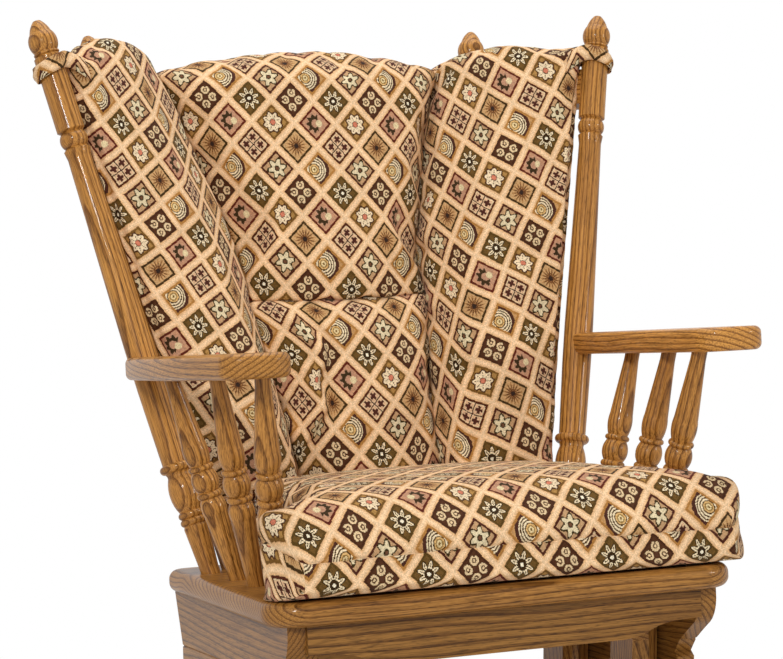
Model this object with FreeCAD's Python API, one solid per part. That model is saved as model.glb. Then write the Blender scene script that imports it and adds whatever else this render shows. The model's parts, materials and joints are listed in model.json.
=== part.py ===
import FreeCAD, Part
import math
import os

# Glider rocker with turned oak posts and arm spindles, wing pads and a seat that hangs on four links.
# Millimetres. +X is to the right as seen from the front, +Y the back, +Z up, floor at Z 0.

V = FreeCAD.Vector

# Clearances
glue_gap = 0.1
press_gap = 0.02
running_gap = 0.08
soft_gap = 0.4

# Seat board: v runs backwards along the board from the feet of the outer posts, w stands off its top
seat_height = 355.0
seat_line_y = -14.97
seat_tilt = 8.0
board_front = 396.0
board_back = 93.0
board_half_front = 288.0
board_half_back = 272.0
board_thick = 28.0
board_edge_round = 12.0
board_front_corner = 45.0
board_back_corner = 25.0
socket_depth = 20.0

# Seat box under the board
skirt_inset = 24.0
skirt_thick = 22.0
skirt_seam = 94.0
skirt_back_top = 78.0
skirt_back_seam = 54.0
skirt_seam_front = 316.0
skirt_ear_radius = 48.0
skirt_arch = 138.0
seam_chamfer = 1.5
# (v, depth) points up the skirts' front edges: from the seam to the board, and from the front ear to the seam
upper_skirt_nose = [(-334.0, 82.5), (-350.0, 73.0), (-365.5, 59.0), (-372.0, 40.0)]
lower_skirt_nose = [(-298.0, 158.0), (-308.0, 116.0), (-300.5, 110.0), (-309.0, 101.0)]
skirt_back_belly = 3.0
apron_thick = 22.0
front_apron_face = 376.0
front_apron_depth = 78.5
front_apron_end_depth = 61.0
# (u, depth past the middle of the step) points of the apron's lower edge, from its deep part outwards
apron_step = [(135.0, 8.75), (160.0, 6.25), (177.0, 0.0), (195.0, -5.75), (215.0, -7.75)]
rear_apron_face = 70.0
rear_apron_depth = 70.0

# Swing links and their pivots
link_length = 135.0
link_width = 36.0
link_thick = 18.0
link_side_gap = 2.0
front_pivot_v = -245.0
rear_pivot_v = -50.0
pivot_drop = 68.0
bolt_radius = 4.0
bolt_head_radius = 9.0
bolt_head_thick = 5.0
nut_radius = 7.5
nut_thick = 5.0
bearing_radius = 11.0
bearing_length = 12.0
end_gap = 0.5

# Base
base_thick = 22.0
rail_front_reach = 33.0
rail_back_reach = 32.0
rail_upper = 40.0
rail_lower = 96.0
upright_width = 60.0
runner_height = 46.0
runner_width = 44.0
runner_front_y = -335.0
runner_back_y = 215.0
runner_end_round = 30.0
glide_inset = 45.0
glide_radius = 14.0
glide_height = 5.0
stretcher_height = 70.0
stretcher_thick = 22.0
stretcher_lift = 40.0
cross_board_height = 45.0
cross_board_lift = 6.0

# Back posts: feet on the board, tips measured from the seat line
outer_foot_inset = 35.0
outer_foot_v = -5.0
outer_tip = (391.0, 234.0, 674.0)
inner_foot_u = 150.0
inner_foot_v = 72.0
inner_tip = (280.0, 420.0, 648.0)
foot_land = 8.0
post_foot_radius = 12.0
post_ring_radius = 17.5
post_vase_radius = 20.0
post_collar_radius = 22.5
post_arm_radius = 19.0
post_waist_radius = 15.0
post_top_radius = 17.8
finial_radius = 18.7
ring_height = 72.0
collar_height = 137.0
band_drop = 161.0
finial_height = 47.0

# Arms
arm_tilt = 8.65
arm_rise = 245.0
arm_thick = 28.0
arm_front = 376.0
arm_inner_front = 246.0
arm_outer_front = 328.0
arm_outer_middle = 341.0
arm_back_reach = 30.0
arm_corner = 30.0
arm_edge_round = 8.0
arm_socket_depth = 17.0
screw_radius = 2.5
screw_head_radius = 5.0
screw_head_depth = 4.0
screw_length = 40.0
screw_sink = 1.5

# Arm spindles, back to front: foot as (inset from the board's side, v), head as (u, v) on the arm's underside
spindle_feet = [(41.5, -108.0), (40.5, -191.0), (42.0, -269.0)]
spindle_heads = [(304.0, -65.0), (288.0, -199.0), (270.0, -314.0)]
spindle_foot_radius = 10.0
spindle_head_radius = 9.25
spindle_vase_radius = 15.4
spindle_ball_radius = 16.5

# Rails and spindles of the back
rail_thick = 22.0
crest_height = 50.0
rail_drop = 105.0
rail_tenon = 6.0
back_spindle_count = 5
back_spindle_radius = 8.0
back_spindle_swell = 10.0
back_spindle_foot_v = 72.0
back_spindle_foot_step = 46.0
back_spindle_fan = 0.68
back_spindle_head_radius = 7.0
back_spindle_belly = 0.4
spindle_tenon = 16.5
wing_spindle_count = 2

# Cushions
cushion_thick = 114.0
cushion_crown = 9.0
cushion_roll = 10.0
# seat cushion cuts from front to back: v, half width, lift of the underside, drop of the top
cushion_cuts = [
    (-404.0, 252.0, 33.0, 45.0), (-394.0, 277.0, 12.0, 16.0), (-370.0, 290.0, 0.0, 4.0),
    (-345.0, 287.0, 0.0, 0.0), (-312.0, 230.0, 0.0, 0.0), (-262.0, 215.0, 0.0, 0.0),
    (-149.0, 208.0, 0.0, 0.0), (-12.0, 196.0, 0.0, 4.0), (36.0, 158.0, 0.0, 8.0), (56.0, 126.0, 12.0, 20.0),
]
# creases beside the middle cushions and ridges of the wing pads: z above the seat, x, y from the seat line
crease = [(93.0, 72.0, 78.0), (309.0, 107.0, 203.0), (597.0, 196.0, 343.0)]
ridge = [(208.0, 101.0, 66.0), (376.0, 143.0, 155.0), (608.0, 252.0, 252.0)]
pillow_crown = 38.0
lumbar_crown = 48.0
# cuts of the back cushions: z above the seat, share of the full section, and for the wings the slope of the cut
lumbar_cuts = [(113.0, 0.8), (135.0, 1.0), (203.0, 1.0), (290.0, 0.98), (312.0, 0.78)]
pillow_cuts = [
    (lumbar_cuts[-1][0] + soft_gap, 0.78), (335.0, 0.98), (425.0, 1.0), (525.0, 1.0),
    (580.0, 0.98), (608.0, 0.88), (622.0, 0.66),
]
wing_cuts = [
    (113.0, 0.84, 0.0), (139.0, 0.98, 0.0), (263.0, 1.0, 0.0), (413.0, 1.0, 0.06),
    (543.0, 1.0, 0.14), (611.0, 0.97, 0.22), (641.0, 0.84, 0.26), (655.0, 0.6, 0.26),
]
wing_front_depth = 52.0
wing_belly = 16.0
wing_cheek = (10.0, 4.0)
wing_cuff = 5.0
strap_width = 22.0
strap_thick = 3.0
strap_drop = 72.0


def tilted_plane(tilt, height):
    c = math.cos(math.radians(tilt))
    s = math.sin(math.radians(tilt))

    def at(u, v, w=0.0):
        return V(u, seat_line_y + v * c + w * s, height - v * s + w * c)
    return at


on_seat = tilted_plane(seat_tilt, seat_height)
on_arm = tilted_plane(arm_tilt, seat_height + arm_rise)


def above_seat(x, y, z):
    return V(x, seat_line_y + y, seat_height + z)


def unit(vector):
    return vector * (1.0 / vector.Length)


def mirrored(shape):
    return shape.mirror(V(0, 0, 0), V(1, 0, 0))


def outline(start, *steps):
    # a step is the next point, or a pair: a point on the way and the end of an arc
    edges = []
    here = start
    for step in steps:
        if isinstance(step, tuple):
            edges.append(Part.Arc(here, step[0], step[1]).toShape())
            here = step[1]
        else:
            edges.append(Part.makeLine(here, step))
            here = step
    if here.distanceToPoint(start) > 0.001:
        edges.append(Part.makeLine(here, start))
    return Part.Wire(edges)


def plank(wire, along):
    return Part.Face(wire).extrude(along)


def box(low, high):
    return Part.makeBox(high.x - low.x, high.y - low.y, high.z - low.z, low)


def rod(foot, head, radius, start, end):
    axis = unit(head - foot)
    return Part.makeCylinder(radius, end - start, foot + axis * start, axis)


def rod_x(x0, x1, centre, radius):
    return Part.makeCylinder(radius, abs(x1 - x0), V(min(x0, x1), centre.y, centre.z), V(1, 0, 0))


def turned(profile, foot, head):
    # (radius, height) pairs, or (radius, height, radius, height) for an arc through the first to the second
    points = [V(profile[0][0], 0, profile[0][1])]
    for entry in profile[1:]:
        if len(entry) == 4:
            points.append((V(entry[0], 0, entry[1]), V(entry[2], 0, entry[3])))
        else:
            points.append(V(entry[0], 0, entry[1]))
    solid = Part.Face(outline(*points)).revolve(V(0, 0, 0), V(0, 0, 1), 360)
    solid.Placement = FreeCAD.Placement(foot, FreeCAD.Rotation(V(0, 0, 1), unit(head - foot)))
    return solid


def beside_edge(inset, v):
    # a point on the board a little way in from its right side
    share = (board_back - v) / (board_back + board_front)
    return on_seat(board_half_back + (board_half_front - board_half_back) * share - inset, v)


# Axes of the turned pieces on the right side
outer_post = (beside_edge(outer_foot_inset, outer_foot_v), above_seat(*outer_tip))
inner_post = (on_seat(inner_foot_u, inner_foot_v), above_seat(*inner_tip))
spindle_axes = [(beside_edge(*f), on_arm(*h)) for f, h in zip(spindle_feet, spindle_heads)]


def on_axis(axis, distance):
    return axis[0] + unit(axis[1] - axis[0]) * distance


def stand_off(axis, depth):
    # how far ahead of a leaning axis, along the level, its surface or rail face lies
    lean = unit(axis[1] - axis[0])
    return (depth + soft_gap) / lean.z


def at_level(axis, z):
    # the point of an axis at a height above the seat line
    share = (seat_height + z - axis[0].z) / (axis[1].z - axis[0].z)
    return axis[0] + (axis[1] - axis[0]) * share


def arm_station(axis):
    # how far up a post's axis the underside of the arm crosses it
    normal = on_arm(0, 0, 1) - on_arm(0, 0, 0)
    return (on_arm(0, 0) - axis[0]).dot(normal) / unit(axis[1] - axis[0]).dot(normal)


def back_post(axis):
    top = (axis[1] - axis[0]).Length
    arm_low = arm_station(outer_post) - arm_thick / 2
    arm_high = arm_low + 2 * arm_thick
    neck = post_foot_radius + 2.5
    shaft = post_collar_radius - 5.0
    groove = post_waist_radius - 1.2
    band = top - band_drop
    cap = top - finial_height
    stem = finial_radius - 4.2
    shoulder = finial_radius - 4.7
    profile = [
        (0, -socket_depth),
        (post_foot_radius, -socket_depth),
        (post_foot_radius, foot_land),
        (neck + 1.0, ring_height - 12.0),
        (neck, ring_height - 9.0),
        (post_ring_radius, ring_height - 4.5, neck, ring_height),
        (post_ring_radius, ring_height + 4.5, neck, ring_height + 9.0),
        (post_vase_radius, ring_height + 29.0, neck + 2.0, collar_height - 13.0),
        (shaft - 1.5, collar_height - 8.0, shaft, collar_height - 5.5),
        (post_collar_radius, collar_height, shaft, collar_height + 5.5),
        (post_arm_radius, arm_low),
        (post_arm_radius, arm_high),
        (post_waist_radius, band - 24.0),
        (post_waist_radius + 1.8, band - 13.0),
        (groove, band - 10.0),
        (post_top_radius, band, groove, band + 10.0),
        (post_top_radius, band + 13.0),
        (post_top_radius, cap - 3.0),
        (stem, cap),
        (stem + 2.0, cap + 2.0, stem, cap + 4.0),
        (finial_radius, cap + 15.0, shoulder, cap + 30.0),
        (shoulder - 3.6, cap + 38.5, shoulder - 9.0, top - 1.5),
        (0, top),
    ]
    return turned(profile, *axis)


def arm_spindle(axis):
    long = (axis[1] - axis[0]).Length
    middle = long / 2
    waist = spindle_ball_radius - 4.0
    ring = spindle_ball_radius - 1.0
    profile = [
        (0, -socket_depth),
        (spindle_foot_radius, -socket_depth),
        (spindle_foot_radius, foot_land),
        (spindle_vase_radius - 0.8, middle - 42.0),
        (spindle_vase_radius, middle - 32.0, waist, middle - 22.0),
        (ring, middle - 18.0, waist, middle - 14.0),
        (spindle_ball_radius, middle - 1.0, waist, middle + 12.0),
        (ring, middle + 15.5, waist, middle + 19.0),
        (spindle_vase_radius, middle + 32.0, spindle_vase_radius - 0.8, middle + 46.0),
        (spindle_head_radius, long - 10.0),
        (spindle_head_radius, long + arm_socket_depth),
        (0, long + arm_socket_depth),
    ]
    return turned(profile, *axis)


def plain_spindle(axis):
    long = (axis[1] - axis[0]).Length
    profile = [
        (0, -socket_depth),
        (back_spindle_radius, -socket_depth),
        (back_spindle_radius, foot_land),
        (back_spindle_swell, long * back_spindle_belly),
        (back_spindle_head_radius, long - foot_land),
        (back_spindle_head_radius, long + spindle_tenon),
        (0, long + spindle_tenon),
    ]
    return turned(profile, *axis)


def spindle_socket(axis):
    long = (axis[1] - axis[0]).Length
    return rod(*axis, back_spindle_head_radius + glue_gap, long - foot_land, long + spindle_tenon + glue_gap)


def rail_between(a, b, lean, grow=0.0):
    # a board on edge from post axis to post axis, leaning with the posts, its ends let into both
    along = unit(b - a)
    up = unit(lean - along * lean.dot(along))
    across = up.cross(along)
    reach = post_top_radius - rail_tenon - grow
    half = rail_thick / 2 + grow
    tall = crest_height / 2 + grow
    start = a + along * reach
    corners = [(-half, -tall), (half, -tall), (half, tall), (-half, tall)]
    wire = Part.makePolygon([start + across * p + up * q for p, q in corners + corners[:1]])
    return plank(wire, along * ((b - a).Length - 2 * reach))


# Rail ends lie the same distance below the tips of their posts
outer_rail_point = on_axis(outer_post, (outer_post[1] - outer_post[0]).Length - rail_drop)
inner_rail_point = on_axis(inner_post, (inner_post[1] - inner_post[0]).Length - rail_drop)
inner_lean = unit(inner_post[1] - inner_post[0])
wing_lean = unit(inner_lean + unit(outer_post[1] - outer_post[0]))


def crest_board(grow=0.0):
    left = V(-inner_rail_point.x, inner_rail_point.y, inner_rail_point.z)
    return rail_between(left, inner_rail_point, inner_lean, grow)


def wing_board(grow=0.0):
    return rail_between(outer_rail_point, inner_rail_point, wing_lean, grow)


def back_spindle_axes():
    axes = []
    half = (back_spindle_count - 1) / 2
    for k in range(back_spindle_count):
        side = (k - half) / half
        foot = on_seat(side * half * back_spindle_foot_step, back_spindle_foot_v)
        head = V(side * inner_rail_point.x * back_spindle_fan, inner_rail_point.y, inner_rail_point.z)
        head = head - V(0, inner_lean.y, inner_lean.z) * (crest_height / 2)
        axes.append((foot, head))
    return axes


def wing_spindle_axes():
    axes = []
    for k in range(1, wing_spindle_count + 1):
        share = k / (wing_spindle_count + 1)
        foot = outer_post[0] + (inner_post[0] - outer_post[0]) * share
        head = outer_rail_point + (inner_rail_point - outer_rail_point) * share
        axes.append((foot, head - wing_lean * (crest_height / 2)))
    return axes


def seat_board(socket_axes):
    corners = [(board_half_front, -board_front), (board_half_back, board_back),
               (-board_half_back, board_back), (-board_half_front, -board_front)]
    wire = Part.makePolygon([on_seat(u, v) for u, v in corners + corners[:1]])
    board = plank(wire, on_seat(0, 0, -board_thick) - on_seat(0, 0, 0))
    for end, radius in ((-board_front, board_front_corner), (board_back, board_back_corner)):
        upright_edges = []
        for edge in board.Edges:
            at_end = abs(seat_coordinates(edge.CenterOfMass)[0] - end) < 0.01
            if at_end and abs(edge.Length - board_thick) < 0.01:
                upright_edges.append(edge)
        board = board.makeFillet(radius, upright_edges)
    flat = [f for f in board.Faces if f.Area > board_half_front * board_front]
    board = board.makeFillet(board_edge_round, [e for f in flat for e in f.Edges])
    for axis, radius in socket_axes:
        board = board.cut(rod(axis[0], axis[1], radius + glue_gap, -socket_depth - glue_gap, board_thick))
    return board


def arm_blank():
    at_post = on_axis(outer_post, arm_station(outer_post))
    pu = at_post.x
    pv = (at_post.y - seat_line_y) / math.cos(math.radians(arm_tilt))
    half_post = post_arm_radius / 2
    front_corners = [on_arm(arm_inner_front, -arm_front), on_arm(arm_outer_front, -arm_front)]
    wire = outline(
        on_arm(pu - half_post, pv - half_post),
        *front_corners,
        (on_arm(arm_outer_middle, (pv - arm_front) / 2), on_arm(pu + arm_back_reach, pv)),
        on_arm(pu + half_post / 2, pv + post_arm_radius - 2.0),
    )
    board = plank(wire, on_arm(0, 0, arm_thick) - on_arm(0, 0, 0))
    upright_edges = []
    for edge in board.Edges:
        near = min(edge.CenterOfMass.distanceToPoint(c) for c in front_corners)
        if near < arm_thick and abs(edge.Length - arm_thick) < 0.01:
            upright_edges.append(edge)
    return board.makeFillet(arm_corner, upright_edges)


def arm_screw(grow=0.0):
    # driven from the inner side of the post, hidden by the wing pad, into the end of the arm
    at_post = on_axis(outer_post, arm_station(outer_post) + arm_thick / 2)
    head = at_post.x - post_arm_radius + screw_sink
    shank = rod_x(head, head + screw_length + grow, at_post, screw_radius + grow)
    cap = rod_x(head - grow * screw_head_radius, head + screw_head_depth + grow, at_post, screw_head_radius + grow)
    return shank.fuse(cap).removeSplitter()


def arm():
    board = arm_blank()
    reach = arm_station(outer_post)
    post_clear = post_arm_radius + arm_thick
    edges = []
    for face in board.Faces:
        if face.Area > arm_front * arm_thick * 1.6:
            edges += [e for e in face.Edges if e.CenterOfMass.distanceToPoint(on_axis(outer_post, reach)) > post_clear]
    board = board.makeFillet(arm_edge_round, edges)
    board = board.cut(rod(*outer_post, post_arm_radius + glue_gap, reach - arm_thick, reach + 2 * arm_thick))
    for axis in spindle_axes:
        long = (axis[1] - axis[0]).Length
        end = long + arm_socket_depth + glue_gap
        board = board.cut(rod(*axis, spindle_head_radius + glue_gap, long - arm_thick, end))
    return board.cut(arm_screw(glue_gap))


# Pivots of the right side, in the plane of the links
def pivots():
    spots = {}
    for name, v in (("front", front_pivot_v), ("rear", rear_pivot_v)):
        upper = on_seat(0, v, -pivot_drop)
        spots[name] = (upper, upper - V(0, 0, link_length))
    return spots


skirt_outer = board_half_front - skirt_inset
skirt_inner = skirt_outer - skirt_thick
link_outer = skirt_inner - link_side_gap
link_inner = link_outer - link_thick
base_outer = link_inner - link_side_gap
base_inner = base_outer - base_thick


def seat_coordinates(point):
    c = math.cos(math.radians(seat_tilt))
    s = math.sin(math.radians(seat_tilt))
    y = point.y - seat_line_y
    z = point.z - seat_height
    return y * c - z * s, y * s + z * c


def skirt(part):
    def at(v, w):
        return on_seat(skirt_inner, v, w)
    seam_front = at(-skirt_seam_front, -skirt_seam)
    seam_back = at(skirt_back_seam, -skirt_seam)
    if part == "upper":
        low_bend, turn, high_bend, top = [at(v, -depth) for v, depth in upper_skirt_nose]
        wire = outline(
            at(skirt_back_top, -board_thick), seam_back, seam_front,
            (low_bend, turn), (high_bend, top),
            at(upper_skirt_nose[-1][0], -board_thick),
        )
    else:
        fv, fw = seat_coordinates(pivots()["front"][1])
        rv, rw = seat_coordinates(pivots()["rear"][1])
        r = skirt_ear_radius
        hollow, brow, notch, bend = [at(v, -depth) for v, depth in lower_skirt_nose]
        wire = outline(
            seam_back,
            (at(skirt_back_seam - skirt_back_belly, (rw - skirt_seam) / 2), at(rv + r, rw)),
            (at(rv, rw - r), at(rv - r, rw)),
            (at((fv + rv) / 2, -skirt_arch), at(fv + r, fw)),
            (at(fv, fw - r), at(fv - r, fw)),
            (hollow, brow),
            notch,
            (bend, seam_front),
        )
    board = plank(wire, V(skirt_thick, 0, 0))
    edges = []
    for edge in board.Edges:
        centre = edge.CenterOfMass
        on_seam = abs(seat_coordinates(centre)[1] + skirt_seam) < 0.01
        if on_seam and abs(centre.x - skirt_outer) < 0.01:
            edges.append(edge)
    board = board.makeChamfer(seam_chamfer, edges)
    if part == "lower":
        for upper, lower in pivots().values():
            board = board.cut(rod_x(skirt_inner, skirt_outer, lower, bolt_radius + glue_gap))
    return board


def front_apron():
    half = skirt_inner - glue_gap
    shallow = -front_apron_end_depth
    middle = (front_apron_depth + front_apron_end_depth) / 2

    def at(u, w):
        return on_seat(u, -front_apron_face, w)
    left = [at(-u, -middle - depth) for u, depth in reversed(apron_step)]
    right = [at(u, -middle - depth) for u, depth in apron_step]
    wire = outline(
        at(-half, -board_thick), at(-half, shallow), left[0],
        (left[1], left[2]), (left[3], left[4]),
        right[0],
        (right[1], right[2]), (right[3], right[4]),
        at(half, shallow), at(half, -board_thick),
    )
    return plank(wire, on_seat(0, apron_thick) - on_seat(0, 0))


def rear_apron():
    half = skirt_inner - glue_gap
    corners = [(-half, -board_thick), (half, -board_thick), (half, -rear_apron_depth), (-half, -rear_apron_depth)]
    wire = Part.makePolygon([on_seat(u, rear_apron_face - apron_thick, w) for u, w in corners + corners[:1]])
    return plank(wire, on_seat(0, apron_thick) - on_seat(0, 0))


def link(name):
    upper, lower = pivots()[name]
    half = link_width / 2

    def at(centre, dy, dz):
        return V(link_inner, centre.y + dy, centre.z + dz)
    wire = outline(
        at(upper, half, 0),
        (at(upper, 0, half), at(upper, -half, 0)),
        at(lower, -half, 0),
        (at(lower, 0, -half), at(lower, half, 0)),
    )
    bar = plank(wire, V(link_thick, 0, 0))
    for spot in (upper, lower):
        bar = bar.cut(rod_x(link_inner, link_outer, spot, bearing_radius))
    return bar


def bearing(spot, x0):
    sleeve = rod_x(x0, x0 + bearing_length, spot, bearing_radius - press_gap)
    return sleeve.cut(rod_x(x0, x0 + bearing_length, spot, bolt_radius + running_gap))


def link_bearings(name):
    upper, lower = pivots()[name]
    return [bearing(upper, link_inner), bearing(lower, link_outer - bearing_length)]


def pivot_nut(spot, x0):
    corners = [math.radians(60 * k) for k in range(7)]
    wire = Part.makePolygon([
        V(x0, spot.y + nut_radius * math.cos(a), spot.z + nut_radius * math.sin(a)) for a in corners])
    nut = plank(wire, V(nut_thick, 0, 0))
    return nut.cut(rod_x(x0, x0 + nut_thick, spot, bolt_radius + press_gap))


def upper_bolt(name):
    spot = pivots()[name][0]
    shank = rod_x(base_inner, link_outer - end_gap, spot, bolt_radius)
    return shank.fuse(rod_x(base_inner - bolt_head_thick, base_inner, spot, bolt_head_radius)).removeSplitter()


def lower_bolt(name):
    spot = pivots()[name][1]
    shank = rod_x(link_inner + end_gap, skirt_outer, spot, bolt_radius)
    return shank.fuse(rod_x(skirt_outer, skirt_outer + bolt_head_thick, spot, bolt_head_radius)).removeSplitter()


rail_front_v = front_pivot_v - rail_front_reach
rail_back_v = rear_pivot_v + rail_back_reach
runner_top = glide_height + runner_height


def top_rail():
    corners = [(rail_front_v, -rail_upper), (rail_back_v, -rail_upper),
               (rail_back_v, -rail_lower), (rail_front_v, -rail_lower)]
    wire = Part.makePolygon([on_seat(base_inner, v, w) for v, w in corners + corners[:1]])
    rail = plank(wire, V(base_thick, 0, 0))
    for upper, lower in pivots().values():
        rail = rail.cut(rod_x(base_inner, base_outer, upper, bolt_radius + glue_gap))
    return rail


def upright_span(name):
    if name == "front":
        return rail_front_v, rail_front_v + upright_width
    return rail_back_v - upright_width, rail_back_v


def upright(name):
    top = [on_seat(base_inner, v, -rail_lower) for v in upright_span(name)]
    foot = [V(p.x, p.y, runner_top) for p in top]
    wire = Part.makePolygon([foot[0], foot[1], top[1], top[0], foot[0]])
    return plank(wire, V(base_thick, 0, 0))


def runner():
    x = (base_inner + base_outer) / 2 - runner_width / 2
    front = seat_line_y + runner_front_y
    back = seat_line_y + runner_back_y
    r = runner_end_round
    bend = r * (1.0 - math.sqrt(0.5))
    low = glide_height
    wire = outline(
        V(x, front, low), V(x, front, runner_top - r),
        (V(x, front + bend, runner_top - bend), V(x, front + r, runner_top)),
        V(x, back - r, runner_top),
        (V(x, back - bend, runner_top - bend), V(x, back, runner_top - r)),
        V(x, back, low),
    )
    return plank(wire, V(runner_width, 0, 0))


def floor_glides():
    x = (base_inner + base_outer) / 2
    spots = [seat_line_y + runner_front_y + glide_inset, seat_line_y + runner_back_y - glide_inset]
    return [Part.makeCylinder(glide_radius, glide_height, V(s * x, y, 0)) for s in (-1, 1) for y in spots]


def stretcher(name):
    y0, y1 = [on_seat(0, v, -rail_lower).y for v in upright_span(name)]
    middle = (y0 + y1) / 2
    low = runner_top + stretcher_lift
    return box(V(-base_inner, middle - stretcher_thick / 2, low),
               V(base_inner, middle + stretcher_thick / 2, low + stretcher_height))


def top_cross_board():
    v0 = rail_front_v
    low = -rail_lower + cross_board_lift
    corners = [(v0, low), (v0 + stretcher_thick, low),
               (v0 + stretcher_thick, low + cross_board_height), (v0, low + cross_board_height)]
    wire = Part.makePolygon([on_seat(-base_inner, v, w) for v, w in corners + corners[:1]])
    return plank(wire, V(2 * base_inner, 0, 0))


def between(stations, z):
    # straight lines through (z, x, y) stations, carried on past the ends
    pairs = list(zip(stations, stations[1:]))
    low, high = pairs[0] if z < pairs[0][1][0] else pairs[-1]
    share = (z - low[0]) / (high[0] - low[0])
    return above_seat(low[1] + (high[1] - low[1]) * share, low[2] + (high[2] - low[2]) * share, z)


def shrunk(points, share):
    centre = V(0, 0, 0)
    for p in points:
        centre = centre + p * (1.0 / len(points))
    return [centre + (p - centre) * share for p in points]


def seat_cushion():
    wires = []
    for v, half, lift, drop in cushion_cuts:
        low = soft_gap + lift
        high = cushion_thick - drop
        middle = (low + high) / 2
        roll = min(cushion_roll, (high - low) / 4)
        wires.append(outline(
            on_seat(-half + roll, v, low), on_seat(half - roll, v, low),
            (on_seat(half, v, middle), on_seat(half - roll, v, high)),
            (on_seat(0, v, high + cushion_crown), on_seat(-half + roll, v, high)),
            (on_seat(-half, v, middle), on_seat(-half + roll, v, low)),
        ))
    return Part.makeLoft(wires, True, True)


def pillow_section(z, share, crown):
    edge = between(crease, z)
    half = edge.x - 2 * soft_gap
    back = at_level(inner_post, z).y - stand_off(inner_post, rail_thick / 2)
    points = [V(-half, back, edge.z), V(half, back, edge.z), V(half, edge.y, edge.z), V(-half, edge.y, edge.z)]
    points = shrunk(points, share)
    front = V(0, points[2].y - crown * share, edge.z)
    return outline(points[0], points[1], points[2], (front, points[3]))


def back_pillow():
    return Part.makeLoft([pillow_section(z, share, pillow_crown) for z, share in pillow_cuts], True, True)


def lumbar_pillow():
    return Part.makeLoft([pillow_section(z, share, lumbar_crown) for z, share in lumbar_cuts], True, True)


def wing_section(z, share, slope):
    # the right wing pad cut by a plane that drops towards the middle of the chair
    o = at_level(outer_post, z)

    def on_cut(place):
        # the point of a line given by height that lies on the cutting plane
        point = place(z)
        for turn in range(6):
            point = place(z - slope * (o.x - point.x))
        return point

    i = on_cut(lambda h: at_level(inner_post, h))
    along = unit(V(i.x - o.x, i.y - o.y, 0))
    front = V(-along.y, along.x, 0)
    inside = on_cut(lambda h: between(crease, h) + V(2 * soft_gap, 0, 0))
    back_gap = stand_off(inner_post, rail_thick / 2)
    post_gap = stand_off(inner_post, post_arm_radius)
    beside_post = stand_off(outer_post, post_arm_radius)
    points = [
        o + along * beside_post + front * back_gap,
        o + along * beside_post + front * wing_front_depth,
        on_cut(lambda h: between(ridge, h)),
        inside,
        on_cut(lambda h: V(inside.x, at_level(inner_post, h).y - back_gap, 0)),
        on_cut(lambda h: at_level(inner_post, h) + front * post_gap),
    ]
    points = [V(p.x, p.y, o.z - slope * (o.x - p.x)) for p in shrunk(points, share)]
    p1, p2, p3, p4, p5, p6 = points
    lean = V(front.x, front.y, slope * front.x)
    belly = (p2 + p3) * 0.5 + lean * (wing_belly * share)
    swell = V(wing_cheek[0], wing_cheek[1], wing_cheek[0] * slope) * share
    cheek = (p3 + p4) * 0.5 - swell
    cuff = (p1 + p2) * 0.5 - V(along.x, along.y, slope * along.x) * (wing_cuff * share)
    return outline(p1, (cuff, p2), (belly, p3), (cheek, p4), p5, p6)


def wing_pad():
    return Part.makeLoft([wing_section(*cut) for cut in wing_cuts], True, True)


def post_strap():
    top = (outer_post[1] - outer_post[0]).Length
    start = top - strap_drop
    inner = post_top_radius + soft_gap
    ring = rod(*outer_post, inner + strap_thick, start, start + strap_width)
    ring = ring.cut(rod(*outer_post, inner, start, start + strap_width))
    return ring


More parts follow.
